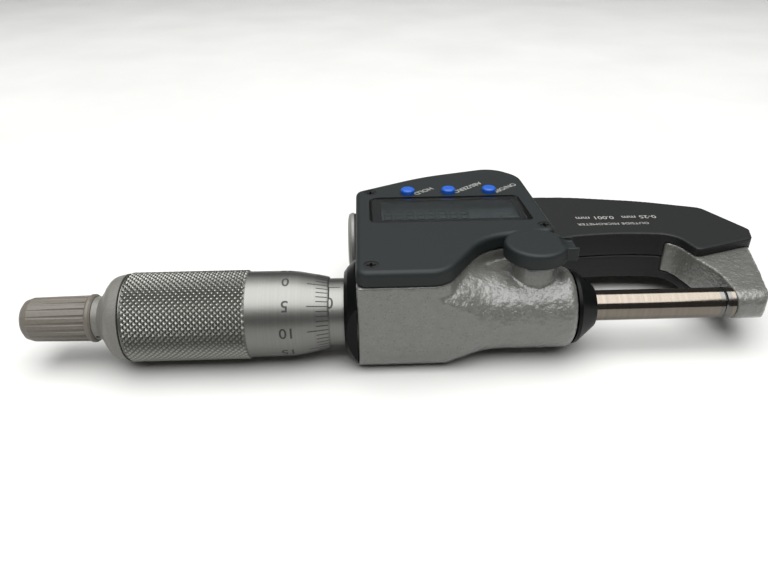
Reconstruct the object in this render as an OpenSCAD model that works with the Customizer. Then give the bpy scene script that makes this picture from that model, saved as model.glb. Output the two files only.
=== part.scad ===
// Outside micrometer with a digital display, range 0 to 25 mm, shown closed.
// X runs along the spindle from the ratchet knob to the anvil, Y runs up to the
// bow, and Z points out of the display. The origin is the middle of the anvil's
// measuring face, so the knob is at negative X.

/* [Spindle] */
// Diameter of the spindle
spindle_d = 6.35; // [6:0.05:6.5]
// Longest gap that can be measured
travel = 25; // [20:0.5:25]
// Gap that is left between the measuring faces at zero
zero_gap = 0.02; // [0.01:0.01:0.05]

/* [Bow] */
// Thickness of the cast bow
bow_core_t = 7.6; // [6.8:0.1:8.2]
// Thickness over the two heat insulating plates
bow_plates_t = 11.7; // [10.5:0.1:12.5]
// Height of the anvil face above the arm
anvil_stand_out = 2; // [1.8:0.1:2.4]

/* [Housing] */
// Left end of the housing, where the sleeve enters it
housing_left = -76; // [-76.4:0.1:-75.6]
// Height of the joint between housing and display cover
joint_z = 11; // [10.8:0.1:11.2]
// Thickness of the display cover
cover_t = 3; // [2.8:0.1:3.2]
// Depth of the housing below the spindle axis
back_z = 10; // [9.6:0.1:10.4]
// Distance of the housing's near side from the spindle axis
housing_side = 8.9; // [8.8:0.05:9]
// Radius of the round barrel that guides the spindle
barrel_r = 8.45; // [8.2:0.05:8.6]
// Right end of the barrel
barrel_right = -32; // [-32.2:0.1:-31.8]

/* [Thimble] */
// Radius of the knurled grip
grip_r = 9.16; // [8.9:0.02:9.4]
// Radius of the plain graduated part
thimble_r = 8.8; // [8.6:0.02:8.9]
// Radius of the graduated sleeve
sleeve_r = 7; // [6.95:0.01:7.05]
// Front edge of the thimble when closed
thimble_front = -81.55; // [-81.8:0.05:-81.3]

/* [Clamp] */
// Distance of the clamp's axis from the anvil face
clamp_x = -40.3; // [-40.8:0.1:-39.8]
// Radius of the clamp knob
clamp_knob_r = 6.3; // [5.8:0.1:6.6]

/* [Display] */
// Radius of a push button
button_r = 1.65; // [1.4:0.05:1.8]
// Height of a button above the cover
button_stand_out = 1.1; // [0.6:0.1:1.4]
// Distance between two buttons
button_pitch = 9.6; // [9:0.1:10.2]

/* [Battery] */
// Radius of the button cell
cell_r = 5.8; // [5.7:0.05:5.8]
// Thickness of the button cell
cell_t = 5.4; // [5.2:0.1:5.4]

/* [Hidden] */
$fn = 72;

spindle_r = spindle_d / 2;
// Running clearance of a shaft in its bush, and of the thimble on the sleeve
run_gap = 0.05;
guide_r = spindle_r + run_gap;
// Clearance of a part that is glued, screwed or pressed into its seat
seat_gap = 0.02;
// Overshoot of a cutting shape past the face that it cuts
cut = 0.1;

// The barrel's bushes all share one bore in the casting
bush_r = 5;
guide_left = -57.6;
clamp_ring_left = -43.8;
clamp_ring_right = -36.8;
front_bush_right = -34.4;

// The encoder sits in a wide bore behind the guide bush
encoder_r = 8;
encoder_wall = -58;
stator_t = 1.6;
rotor_gap = 0.4;
rotor_t = 1.2;
rotor_right = encoder_wall - stator_t - rotor_gap;
rotor_bush_left = -67;
retainer_right = -67.1;
nut_flange_right = -70.6;
key_x = -64;

// Thread nut, sleeve and thimble
nut_tube_r = 5.9;
nut_left = -117;
sleeve_left = -110;
thimble_left = -122.3;
thimble_end_wall = 3.3;
thimble_bore_left = -88;
tail_r = 2.9;
grip_right = -97.6;

// Ratchet
housing_neck_left = -129;
knob_left = -143.7;
knob_right = -129.05;
ratchet_shaft_r = 1.25;

// Clamp
clamp_shaft_r = 1.5;
boss_r = 4.5;
boss_top = 11.55;
clamp_knob_z = 11.9;
clamp_knob_t = 3.3;
tab_reach = 8;

// Display
cover_top = joint_z + cover_t;
gasket_t = 0.4;
housing_top = joint_z - gasket_t;
board_z = 9.75;
board_t = 0.8;
lcd_z = 11.5;
lcd_t = 1.6;
window_z = 13.25;
window_t = 0.65;
cover_roof = 1.4;
button_y = 29.6;
middle_button_x = -54.2;
button_x = [for (i = [-1:1]) middle_button_x + i * button_pitch];
button_flange_t = 0.4;
button_flange_r = button_r + 0.45;
button_bottom = 11.4;
cover_screw_r = 0.8;
cover_screw_head_r = 1.45;
cover_screw_bottom = 8.3;
cover_screw_at = [[-73, -5.8], [-36, 10.4], [-72.6, 30.2]];

// Battery, in a bore from the housing's left end
cell_y = 24.6;
cell_z = 3.9;
cap_r = 6.9;
cap_t = 2;
cap_plug_r = 6.05;
cap_plug_t = 1.1;

// Data port in the back face
port_at = [-52, 27];
port_cap_t = 1.2;
port_cap_size = [13, 8];
port_hole = [7.2, 4.6];
port_screw_pitch = 10.2;

// Screws that hold the bow plates, from the back
bow_screw_at = [[-20, 33], [4, 29]];
bow_screw_r = 0.9;
bow_screw_head_r = 1.7;

// An outline is a list of corners [x, y, radius], anticlockwise. rounded() turns
// it into points, with ARC_STEPS points on each corner's arc.
ARC_STEPS = 7;
function flat(corner) = [corner[0], corner[1]];
function unit(v) = v / norm(v);
function turned(a, b) = a[0] * b[1] - a[1] * b[0];
function corner_arc(p, c, q, r) =
  let (u = unit(flat(c) - flat(p)), v = unit(flat(q) - flat(c)))
  let (side = turned(u, v) > 0 ? 1 : -1, angle = acos(u * v))
  let (reach = r * tan(angle / 2), start = flat(c) - u * reach)
  let (centre = start + side * r * [-u[1], u[0]])
  [for (i = [0:ARC_STEPS]) let (a = side * angle * i / ARC_STEPS, d = start - centre)
    centre + [d[0] * cos(a) - d[1] * sin(a), d[0] * sin(a) + d[1] * cos(a)]];
function neighbour(outline, i, step) = outline[(i + len(outline) + step) % len(outline)];
function rounded(outline) = [for (i = [0:len(outline) - 1])
  let (p = neighbour(outline, i, -1), q = neighbour(outline, i, 1), c = outline[i])
  each (c[2] > 0 ? corner_arc(p, c, q, c[2]) : [flat(c)])];

// The same outline moved outwards by d, or inwards where d is negative
function moved_corner(p, c, q, d) =
  let (u = unit(flat(c) - flat(p)), v = unit(flat(q) - flat(c)))
  let (n = [u[1], -u[0]], m = [v[1], -v[0]], shift = (n + m) / (1 + n * m))
  let (r = c[2] + (turned(u, v) > 0 ? d : -d))
  [c[0] + d * shift[0], c[1] + d * shift[1], c[2] > 0 ? max(r, 0.2) : 0];
function grown(outline, d) = [for (i = [0:len(outline) - 1])
  moved_corner(neighbour(outline, i, -1), outline[i], neighbour(outline, i, 1), d)];

// Outline of the display cover, with its S-shaped lower edge and its pointed ear
cover_outline = [[housing_left, -9, 2.2], [-58.6, -9, 6], [-49.2, 6.1, 12], [-33.9, 7.9, 2.3],
  [-35.2, 40, 7], [-41, 46.2, 7], [-60, 40.6, 50], [housing_left, 31.6, 2.4]];

// Outline of the housing under the cover; its near left corner is nearly square
housing_outline = [[housing_left, -housing_side, 0.5], [-58.7, -housing_side, 6],
  [-49.35, 6, 12], [-34.2, 8.2, 2], [-35.5, 39.9, 6.7], [-41.2, 45.9, 6.7], [-60, 40.3, 50],
  [housing_left, 31.3, 2.2]];

// Outline of the circuit board's pocket under the cover
board_outline = [[-68.9, 7, 1], [-38, 11, 1], [-38, 38, 3], [-42, 41, 3], [-62, 37, 4],
  [-68.9, 33.2, 1]];

// Outline of the insulating plates; the left end runs in beside the housing
plate_outline = [[-44, 9, 0], [-31.2, 9, 0.8], [-31.2, 20.4, 7], [-14.5, 22.6, 60],
  [-2, 21, 5], [0.1, 12.9, 1.2], [15, 18, 2.5], [16.8, 23, 2], [11, 36.2, 3], [-3, 41.2, 60],
  [-22, 45, 60], [-44, 45.1, 0]];

// Outline of the cast bow under the plates. Its arm to the anvil comes out from between
// them along the round inner corner of the bow.
arm_inner_x = anvil_stand_out;
corner_at = [-6, 16.5];
corner_r = 4.8;
arm_end_y = -3.3;
core_outline = concat(
  [[-48, 4, 0], [-32.8, 4, 0], [-32.7, 21.9, 8], [-14.5, 24.1, 60], [-3.8, 23.2, 0.2]],
  [for (a = [60:-15:15]) [corner_at[0] + corner_r * cos(a), corner_at[1] + corner_r * sin(a), 0]],
  [[-0.1, 12.6, 3], [arm_inner_x, 6, 6], [arm_inner_x, arm_end_y, 1.2], [8.4, arm_end_y, 1.5],
  [15.5, 21, 1], [14.9, 23.4, 2], [10, 34.8, 3], [-3.4, 39.6, 60], [-22, 43.4, 60],
  [-48, 43.4, 0]]);

// A solid of revolution about X; profile points are [x, radius]
module turned_part(profile) {
  rotate([90, 0, 90]) rotate_extrude() polygon([for (p = profile) [p[1], p[0]]]);
}

// A cylinder along X from left to right
module rod(left, right, r) {
  translate([left, 0, 0]) rotate([0, 90, 0]) cylinder(r = r, h = right - left);
}

module tube(left, right, r, bore) {
  difference() {
    rod(left, right, r);
    rod(left - cut, right + cut, bore);
  }
}

// An upright slab of an outline from height low to height high
module slab(outline, low, high) {
  translate([0, 0, low]) linear_extrude(high - low) polygon(rounded(outline));
}

module box_between(low, high) {
  translate(low) cube(high - low);
}

// Upright cylinder at a place [x, y]
module post(at, low, high, r) {
  translate([at[0], at[1], low]) cylinder(r = r, h = high - low);
}

// Cross recess of a small screw, cut down from height z
module cross_recess(at, z, wide, deep) {
  translate([at[0], at[1], z - deep / 2 + cut / 2]) {
    cube([wide, wide / 4, deep + cut], center = true);
    cube([wide / 4, wide, deep + cut], center = true);
  }
}

// ---- casting ----

// The housing's section across X, which rounds the two long edges of its back
module housing_section(left, right) {
  far = 48;
  section = [[-housing_side, -back_z, 5.5], [far, -back_z, 4], [far, housing_top, 0],
    [-housing_side, housing_top, 0]];
  translate([left, 0, 0]) rotate([90, 0, 90]) linear_extrude(right - left)
    polygon(rounded(section));
}

// Section of the arm across X, which thins it to a round nose at the anvil
module arm_section(left, right) {
  half = bow_core_t / 2;
  section = [[arm_end_y, arm_end_y, 3], [9, -half, 12], [60, -half, 0], [60, half, 0],
    [9, half, 12], [arm_end_y, -arm_end_y, 3]];
  translate([left, 0, 0]) rotate([90, 0, 90]) linear_extrude(right - left)
    polygon(rounded(section));
}

module bow_core() {
  intersection() {
    slab(core_outline, -bow_core_t / 2, bow_core_t / 2);
    union() {
      box_between([-60, -20, -bow_core_t], [-20, 60, bow_core_t]);
      arm_section(-21, 30);
    }
  }
}

module housing_block() {
  intersection() {
    slab(housing_outline, -back_z - cut, housing_top);
    housing_section(-90, -10);
  }
}

// The barrel, with its rounded right end
module barrel() {
  round_r = 1.6;
  round_end = [for (a = [0:15:90])
    [barrel_right - round_r + round_r * sin(a), barrel_r - round_r + round_r * cos(a)]];
  turned_part(concat([[-60, 0], [-60, barrel_r]], round_end, [[barrel_right, 0]]));
}

// Long flare that runs the barrel out into the corners of the housing's section
module flare() {
  rise = [[-60, 3], [-59, 2.8], [-57.8, 2.45], [-56, 2], [-54.4, 1.5], [-52.5, 0.85],
    [-50.6, 0.35], [-48.8, 0.08], [-46.5, 0]];
  intersection() {
    turned_part(concat([[-60, 0]], [for (p = rise) [p[0], barrel_r + p[1]]], [[-46.5, 0]]));
    housing_section(-61, -46);
  }
}

// Level platform between the barrel and the display
module platform() {
  deck_z = 8;
  slab([[-60, 0, 0], [-36.5, 0, 2], [-35, 13, 0], [-60, 13, 0]], -deck_z, deck_z);
}

module encoder_cavity() {
  rod(housing_left - cut, encoder_wall, encoder_r + seat_gap);
}

module battery_bore() {
  translate([0, cell_y, cell_z]) {
    rod(housing_left - 2, housing_left + cap_plug_t + 0.05, cap_plug_r + run_gap);
    rod(housing_left, housing_left + cap_plug_t + cell_t + 0.4, cell_r + 0.1);
  }
}

module electronics_pocket() {
  deep_outline = [[-66, 11.5, 1], [-38.6, 11.5, 1], [-38.6, 36, 1], [-66, 31, 1]];
  deep_z = 3;
  slab(board_outline, board_z, housing_top + cut);
  slab(deep_outline, deep_z, board_z + cut);
}

module port_pocket() {
  translate([port_at[0], port_at[1], 0]) {
    slab(rect_outline(port_cap_size, 3.9), -back_z - cut, -back_z + port_cap_t + 0.3);
    slab(rect_outline(port_hole, 0.6), -back_z, 3 + cut);
    for (s = [-1, 1])
      post([s * port_screw_pitch / 2, 0], -back_z, -back_z + 5, 0.6);
  }
}

function rect_outline(size, r) = [[-size[0] / 2, -size[1] / 2, r], [size[0] / 2, -size[1] / 2, r],
  [size[0] / 2, size[1] / 2, r], [-size[0] / 2, size[1] / 2, r]];

module frame() {
  color([0.5, 0.5, 0.48]) difference() {
    union() {
      bow_core();
      housing_block();
      barrel();
      flare();
      platform();
      post([clamp_x, 0], 0, boss_top, boss_r);
    }
    rod(-60, barrel_right + cut, bush_r);
    encoder_cavity();
    post([clamp_x, 0], 4, boss_top + cut, clamp_shaft_r + run_gap);
    rod(arm_inner_x - cut, 8, anvil_shank_r);
    battery_bore();
    electronics_pocket();
    port_pocket();
    for (at = cover_screw_at)
      post(at, cover_screw_bottom, housing_top + cut, cover_screw_r);
    for (at = bow_screw_at)
      post(at, -5, 5, bow_screw_r + 0.1);
  }
}

// ---- insulating plates on the bow ----

plate_z = bow_plates_t / 2;

// Front plate; the back one is its mirror image
module bow_plate_shell() {
  difference() {
    slab(plate_outline, 0.03, plate_z);
    slab(core_outline, -cut, bow_core_t / 2);
    slab(grown(cover_outline, 0.15), -cut, plate_z + cut);
  }
}

module front_bow_plate() {
  color([0.17, 0.17, 0.17]) difference() {
    bow_plate_shell();
    for (at = bow_screw_at)
      post(at, 3, 5, bow_screw_r + seat_gap);
  }
}

module back_bow_plate() {
  color([0.17, 0.17, 0.17]) difference() {
    mirror([0, 0, 1]) bow_plate_shell();
    for (at = bow_screw_at)
      bow_screw_shape(at, seat_gap, cut);
  }
}

// Countersunk screw with its head flush in the back plate; fatter by gap, and longer
// by over, where it is the shape of its own hole
module bow_screw_shape(at, gap, over) {
  head_r = bow_screw_head_r + gap;
  post(at, -plate_z, 4.9, bow_screw_r + gap);
  translate([at[0], at[1], -plate_z])
    cylinder(r1 = head_r, r2 = bow_screw_r + gap, h = bow_screw_head_r - bow_screw_r);
  if (over > 0) post(at, -plate_z - over, -plate_z, head_r);
}

module bow_plate_screws() {
  color([0.3, 0.3, 0.3])
    for (at = bow_screw_at) difference() {
      bow_screw_shape(at, 0, 0);
      cross_recess(at, -plate_z + 0.7, 1.7, 0.7);
    }
}

// ---- measuring faces and spindle ----

anvil_r = 3.2;
anvil_shank_r = 2.2;
tip_t = 1.2;
tip_chamfer = 0.3;

module anvil() {
  color([0.72, 0.7, 0.66]) union() {
    rod(tip_t, arm_inner_x, anvil_r);
    rod(arm_inner_x - cut, 7.9, anvil_shank_r);
  }
}

module anvil_tip() {
  color([0.45, 0.45, 0.46]) turned_part([[0, 0], [0, anvil_r - tip_chamfer], [tip_chamfer, anvil_r],
    [tip_t, anvil_r], [tip_t, 0]]);
}

module spindle_tip() {
  face = -zero_gap;
  color([0.45, 0.45, 0.46]) turned_part([[face, 0], [-tip_t, 0], [-tip_t, spindle_r],
    [face - tip_chamfer, spindle_r], [face, spindle_r - tip_chamfer]]);
}

module spindle() {
  tail_left = thimble_left;
  shoulder = thimble_left + thimble_end_wall;
  color([0.8, 0.77, 0.72]) difference() {
    union() {
      rod(shoulder, -tip_t, spindle_r);
      rod(tail_left, shoulder, tail_r);
    }
    // Keyway that the encoder's key slides in, long enough for the whole travel
    box_between([key_x - 2, -0.55, 2.3], [key_x + travel + 2, 0.55, spindle_r + 1]);
    rod(tail_left - cut, tail_left + 7, ratchet_shaft_r);
  }
}

module nose_ring() {
  seal_left = -32;
  color([0.08, 0.08, 0.08]) difference() {
    turned_part([[-34.2, 3.7], [-34.2, bush_r], [barrel_right, bush_r], [barrel_right, 7.7],
      [-31.3, 7.65], [-28.5, 5.4], [-27.4, 4.5], [-27.4, 3.5], [-29.2, 3.5], [-29.2, 3.7]]);
    rod(seal_left - cut, -29.2, 4.5);
  }
}

module wiper_seal() {
  color([0.12, 0.12, 0.12]) tube(-32, -29.2, 4.5, guide_r);
}

module front_bush() {
  color([0.7, 0.55, 0.3]) tube(clamp_ring_right + 0.1, front_bush_right, bush_r, guide_r);
}

module guide_bush() {
  color([0.7, 0.55, 0.3]) tube(guide_left, clamp_ring_left - 0.1, bush_r, guide_r);
}

// Split ring that the clamp's shaft presses onto the spindle
module clamp_ring() {
  color([0.75, 0.6, 0.35]) difference() {
    tube(clamp_ring_left, clamp_ring_right, bush_r, guide_r);
    box_between([clamp_ring_left - cut, -0.4, -6], [clamp_ring_right + cut, 0.4, 0]);
    post([clamp_x, 0], 4.6, 6, clamp_shaft_r + 0.2);
  }
}

module clamp_shaft() {
  color([0.6, 0.6, 0.6]) post([clamp_x, 0], 4.7, clamp_knob_z + 2, clamp_shaft_r);
}

module clamp_knob() {
  edge = 0.7;
  top = clamp_knob_z + clamp_knob_t;
  color([0.2, 0.22, 0.22]) translate([clamp_x, 0, 0]) difference() {
    union() {
      rotate_extrude() polygon([[0, clamp_knob_z], [clamp_knob_r - 0.4, clamp_knob_z],
        [clamp_knob_r, clamp_knob_z + 0.4], [clamp_knob_r, top - edge],
        [clamp_knob_r - 0.2, top - edge / 3], [clamp_knob_r - edge, top], [0, top]]);
      slab([[0, -2.9, 0], [tab_reach, -2.9, 0.7], [tab_reach, 2.6, 0.7], [0, 2.6, 0]],
        clamp_knob_z + 0.2, top - 0.3);
    }
    // Dished thumb rest on the tab
    translate([tab_reach - 0.6, 0, top + 2.2]) rotate([90, 0, 0])
      cylinder(r = 3.4, h = 4.4, center = true);
    post([0, 0], clamp_knob_z - cut, clamp_knob_z + 2, clamp_shaft_r);
  }
}

// ---- encoder ----

module encoder_stator() {
  color([0.1, 0.35, 0.2]) tube(encoder_wall - stator_t, encoder_wall, encoder_r, 5);
}

rotor_hub_r = 3.95;

module encoder_rotor() {
  color([0.1, 0.4, 0.25]) tube(rotor_right - rotor_t, rotor_right, encoder_r - 0.5, rotor_hub_r);
}

module rotor_bush() {
  flange = rotor_right - rotor_t;
  color([0.75, 0.6, 0.35]) difference() {
    union() {
      rod(rotor_bush_left, rotor_right, rotor_hub_r);
      rod(flange - 1, flange, 5);
    }
    rod(rotor_bush_left - cut, rotor_right + cut, guide_r);
    post([key_x, 0], 0, 6, 0.5);
  }
}

// Pin through the bush, with its foot in the spindle's keyway
module rotor_key() {
  color([0.6, 0.6, 0.62]) post([key_x, 0], 2.4, rotor_hub_r - 0.05, 0.5);
}

module rotor_retainer() {
  color([0.6, 0.6, 0.6]) tube(nut_flange_right, retainer_right, encoder_r, 3.6);
}

// ---- thread nut, sleeve and thimble ----

module thread_nut() {
  slit = 0.6;
  slit_right = -108.5;
  color([0.7, 0.7, 0.68]) difference() {
    union() {
      rod(housing_left, nut_flange_right, encoder_r);
      rod(nut_left, housing_left, nut_tube_r);
    }
    rod(nut_left - cut, nut_flange_right + cut, guide_r);
    for (a = [30, 150, 270])
      rotate([a, 0, 0]) box_between([nut_left - cut, 0, -slit / 2], [slit_right, 7, slit / 2]);
  }
}

module adjusting_nut() {
  nut_r = 6.9;
  left = -115.5;
  right = -110.6;
  color([0.55, 0.55, 0.53]) difference() {
    tube(left, right, nut_r, nut_tube_r);
    for (a = [0, 90, 180, 270])
      rotate([a, 0, 0]) box_between([left - cut, 6.3, -0.5], [left + 1.4, 8, 0.5]);
  }
}

module graduated_sleeve() {
  color([0.78, 0.78, 0.76]) tube(sleeve_left, housing_left, sleeve_r, nut_tube_r);
}

// Its base follows the rounded end face of the housing
module collar() {
  color([0.07, 0.07, 0.07]) intersection() {
    turned_part([[housing_left, sleeve_r], [housing_left, 10.8], [-76.5, 10.5], [-77.8, 9.3],
      [-78.5, 8.3], [-78.6, sleeve_r]]);
    housing_section(-80, housing_left);
  }
}

module thimble() {
  bore = sleeve_r + 0.08;
  seat = tail_r + seat_gap;
  relief = 7.75;
  inner_wall = thimble_left + thimble_end_wall;
  color([0.8, 0.8, 0.79]) turned_part([[thimble_left, seat], [thimble_left, grip_r - 0.4],
    [thimble_left + 0.4, grip_r], [grip_right, grip_r], [grip_right + 0.3, thimble_r],
    [-89.2, thimble_r - 0.04], [-87.4, thimble_r - 0.25], [-85.6, thimble_r - 0.6],
    [thimble_front, 7.35], [thimble_front, bore], [thimble_bore_left, bore],
    [thimble_bore_left - 0.6, relief], [inner_wall, relief], [inner_wall, seat]]);
}

// ---- ratchet ----

module ratchet_housing() {
  cavity_r = 3.5;
  cavity_right = -124.6;
  color([0.66, 0.64, 0.6]) difference() {
    turned_part([[thimble_left, 0], [thimble_left, 8.95], [-123.3, 8.75], [-124.1, 8.56],
      [-124.7, 8.3], [-125.1, 8], [-125.7, 7.3], [-126.2, 6.4], [-126.7, 5.8], [-127.5, 4.75],
      [-127.8, 4.45], [housing_neck_left, 4.45], [housing_neck_left, 0]]);
    rod(housing_neck_left - cut, thimble_left + cut, ratchet_shaft_r);
    rod(housing_neck_left - cut, cavity_right, cavity_r);
    // Small pin hole in the neck
    translate([-128.35, 0, 0]) rotate([118, 0, 0]) cylinder(r = 0.4, h = 8);
  }
}

// Face teeth that the knob's teeth click over
module ratchet_ring() {
  teeth = 12;
  color([0.55, 0.55, 0.55]) difference() {
    tube(-128.2, -126.9, 3.5, 1.9);
    for (i = [0:teeth - 1])
      rotate([i * 360 / teeth, 0, 0]) box_between([-128.5, 1, -0.25], [-127.8, 4, 0.25]);
  }
}

module ratchet_spring() {
  wire_r = 0.18;
  coil_r = 2.7;
  coil_pitch = 0.75;
  left = -126.43;
  color([0.7, 0.7, 0.7])
    for (i = [0:2])
      translate([left + i * coil_pitch, 0, 0]) rotate([0, 90, 0]) rotate_extrude($fn = 40)
        translate([coil_r, 0]) circle(r = wire_r, $fn = 16);
}

module ratchet_knob() {
  flutes = 20;
  flute_r = 0.42;
  flutes_right = -130.3;
  head_room = -140.5;
  color([0.68, 0.66, 0.62]) difference() {
    turned_part([[knob_right, 0], [knob_right, 4.65], [-129.4, 4.95], [-129.9, 4.95],
      [-130.3, 4.7], [-136, 4.62], [-141.6, 4.5], [-142.9, 4.1], [-143.5, 3.4], [knob_left, 2.7],
      [knob_left, 0]]);
    for (i = [0:flutes - 1])
      rotate([i * 360 / flutes, 0, 0])
        translate([0, 4.85, 0]) rod(knob_left - 1, flutes_right, flute_r);
    rod(knob_left - cut, knob_right + cut, ratchet_shaft_r + run_gap);
    rod(knob_left - cut, head_room, 2.5);
  }
}

module ratchet_screw() {
  slot = 0.5;
  head_right = -140.6;
  head_left = -142.1;
  color([0.6, 0.6, 0.6]) difference() {
    union() {
      rod(head_right - 0.2, thimble_left + 6.5, ratchet_shaft_r);
      rod(head_left, head_right, 2.3);
    }
    box_between([head_left - cut, -3, -slot / 2], [head_left + 0.7, 3, slot / 2]);
  }
}

module knob_plug() {
  color([0.64, 0.62, 0.58]) rod(knob_left, knob_left + 1.4, 2.5);
}

// ---- display ----

window_outline = [[-73, 13, 2], [-37.6, 13, 1], [-38.4, 27.1, 1.5], [-73, 27.1, 2.5]];

module display_cover() {
  edge = 0.5;
  head_z = cover_top - 0.1;
  color([0.2, 0.23, 0.23]) difference() {
    union() {
      slab(cover_outline, joint_z, cover_top - edge);
      slab(grown(cover_outline, -edge * 0.45), cover_top - edge, cover_top - edge * 0.4);
      slab(grown(cover_outline, -edge), cover_top - edge * 0.4, cover_top);
    }
    // Room for the display and the switches
    slab([[-72.3, 11.6, 1], [-38.4, 11.6, 1], [-38.4, 37.5, 3], [-43, 40.5, 3], [-69, 31, 1],
      [-72.3, 27.6, 1]], joint_z - cut, cover_top - cover_roof);
    slab(grown(window_outline, -0.9), joint_z, cover_top + cut);
    slab(window_outline, window_z, cover_top + cut);
    for (x = button_x) {
      post([x, button_y], joint_z, cover_top + cut, button_r + run_gap);
      post([x, button_y], joint_z - cut, cover_top - cover_roof, button_flange_r + 0.2);
    }
    for (at = cover_screw_at) {
      post(at, joint_z - cut, cover_top, cover_screw_r);
      post(at, head_z - 0.9, cover_top + cut, cover_screw_head_r + 0.02);
    }
  }
}

module cover_gasket() {
  color([0.05, 0.05, 0.05]) difference() {
    slab(grown(cover_outline, -0.45), housing_top, joint_z);
    slab(board_outline, housing_top - cut, joint_z + cut);
    for (at = cover_screw_at)
      post(at, housing_top - cut, joint_z + cut, cover_screw_r);
  }
}

module cover_screws() {
  head_z = cover_top - 0.1;
  color([0.1, 0.1, 0.1])
    for (at = cover_screw_at) difference() {
      union() {
        post(at, cover_screw_bottom + 0.2, head_z, cover_screw_r);
        post(at, head_z - 0.9, head_z, cover_screw_head_r);
      }
      cross_recess(at, head_z, 1.8, 0.6);
    }
}

module display_window() {
  color([0.12, 0.14, 0.15, 0.6]) slab(grown(window_outline, -0.05), window_z, window_z + window_t);
}

module lcd_panel() {
  color([0.35, 0.38, 0.37]) box_between([-71.2, 14.3, lcd_z], [-39.9, 25.7, lcd_z + lcd_t]);
}

module zebra_strip() {
  color([0.7, 0.4, 0.4]) box_between([-67, 14.5, board_z + board_t], [-41, 15.6, lcd_z]);
}

module circuit_board() {
  board_hole_at = [-58.9, 35];
  board_hole_r = 0.8;
  color([0.1, 0.4, 0.2]) difference() {
    slab(grown(board_outline, -0.2), board_z, board_z + board_t);
    post(board_hole_at, board_z - cut, board_z + board_t + cut, board_hole_r);
  }
}

module dome_switches() {
  dome_t = 0.4;
  dome_r = 1.5;
  color([0.8, 0.8, 0.82])
    for (x = button_x)
      post([x, button_y], board_z + board_t, board_z + board_t + dome_t, dome_r);
}

module button(x) {
  top = cover_top + button_stand_out;
  edge = 0.3;
  flange_top = cover_top - cover_roof - 0.1;
  flange_bottom = flange_top - button_flange_t;
  color([0.1, 0.36, 0.75]) translate([x, button_y, 0])
    rotate_extrude() polygon([[0, button_bottom], [button_r, button_bottom],
      [button_r, flange_bottom], [button_flange_r, flange_bottom], [button_flange_r, flange_top],
      [button_r, flange_top], [button_r, top - edge], [button_r - edge, top], [0, top]]);
}

module left_button() {
  button(button_x[0]);
}

module middle_button() {
  button(button_x[1]);
}

module right_button() {
  button(button_x[2]);
}

// ---- battery ----

cell_left = housing_left + cap_plug_t + 0.05;

module battery_cell() {
  color([0.8, 0.8, 0.82]) translate([0, cell_y, cell_z]) {
    rod(cell_left, cell_left + cell_t - 0.8, cell_r);
    rod(cell_left + cell_t - 0.8, cell_left + cell_t, cell_r - 0.6);
  }
}

// Screw-in cap with a slot for a coin
module battery_cap() {
  left = housing_left - cap_t;
  seat = housing_left - 0.02;
  groove = housing_left - 0.5;
  color([0.66, 0.66, 0.64]) translate([0, cell_y, cell_z]) difference() {
    union() {
      turned_part([[seat, 0], [seat, cap_r - 0.8], [groove, cap_r - 0.8], [groove, cap_r],
        [left + 0.9, cap_r], [left + 0.3, cap_r - 0.4], [left + 0.1, cap_r - 1.2],
        [left, cap_r - 2.2], [left, 0]]);
      rod(seat, housing_left + cap_plug_t, cap_plug_r);
    }
    rotate([30, 0, 0]) box_between([left - cut, -4.2, -0.7], [left + 0.9, 4.2, 0.7]);
  }
}

module cap_o_ring() {
  color([0.05, 0.05, 0.05]) translate([0, cell_y, cell_z])
    tube(housing_left - 0.48, housing_left - 0.02, cap_r - 0.2, cap_r - 0.8 + 0.03);
}

module battery_contact() {
  left = cell_left + cell_t + 0.02;
  color([0.85, 0.75, 0.4]) translate([0, cell_y, cell_z]) rod(left, left + 0.25, 4);
}

// ---- data port ----

module data_connector() {
  color([0.08, 0.08, 0.08]) translate([port_at[0], port_at[1], 0]) difference() {
    slab(rect_outline(port_hole, 0.6), -back_z + port_cap_t + 0.7, 2.9);
    slab(rect_outline([5.6, 2.6], 0.4), -back_z, -back_z + 6);
  }
}

module port_gasket() {
  color([0.05, 0.05, 0.05]) translate([port_at[0], port_at[1], 0]) difference() {
    slab(rect_outline(port_cap_size - [0.3, 0.3], 3.7), -back_z + port_cap_t,
      -back_z + port_cap_t + 0.3);
    slab(rect_outline(port_hole + [0.4, 0.4], 0.6), -back_z, -back_z + 3);
    for (s = [-1, 1])
      post([s * port_screw_pitch / 2, 0], -back_z, -back_z + 3, 0.6);
  }
}

module port_cap() {
  color([0.1, 0.1, 0.1]) translate([port_at[0], port_at[1], 0]) difference() {
    slab(rect_outline(port_cap_size - [0.2, 0.2], 3.8), -back_z + 0.05, -back_z + port_cap_t);
    for (s = [-1, 1]) {
      post([s * port_screw_pitch / 2, 0], -back_z, -back_z + 3, 0.6);
      post([s * port_screw_pitch / 2, 0], -back_z, -back_z + 0.7, 1.05);
    }
  }
}

module port_cap_screws() {
  color([0.3, 0.3, 0.3]) translate([port_at[0], port_at[1], 0])
    for (s = [-1, 1]) difference() {
      union() {
        post([s * port_screw_pitch / 2, 0], -back_z + 0.1, -back_z + 4.8, 0.6);
        post([s * port_screw_pitch / 2, 0], -back_z + 0.1, -back_z + 0.7, 1.05);
      }
      cross_recess([s * port_screw_pitch / 2, 0], -back_z + 0.5, 1.3, 0.4);
    }
}

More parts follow.
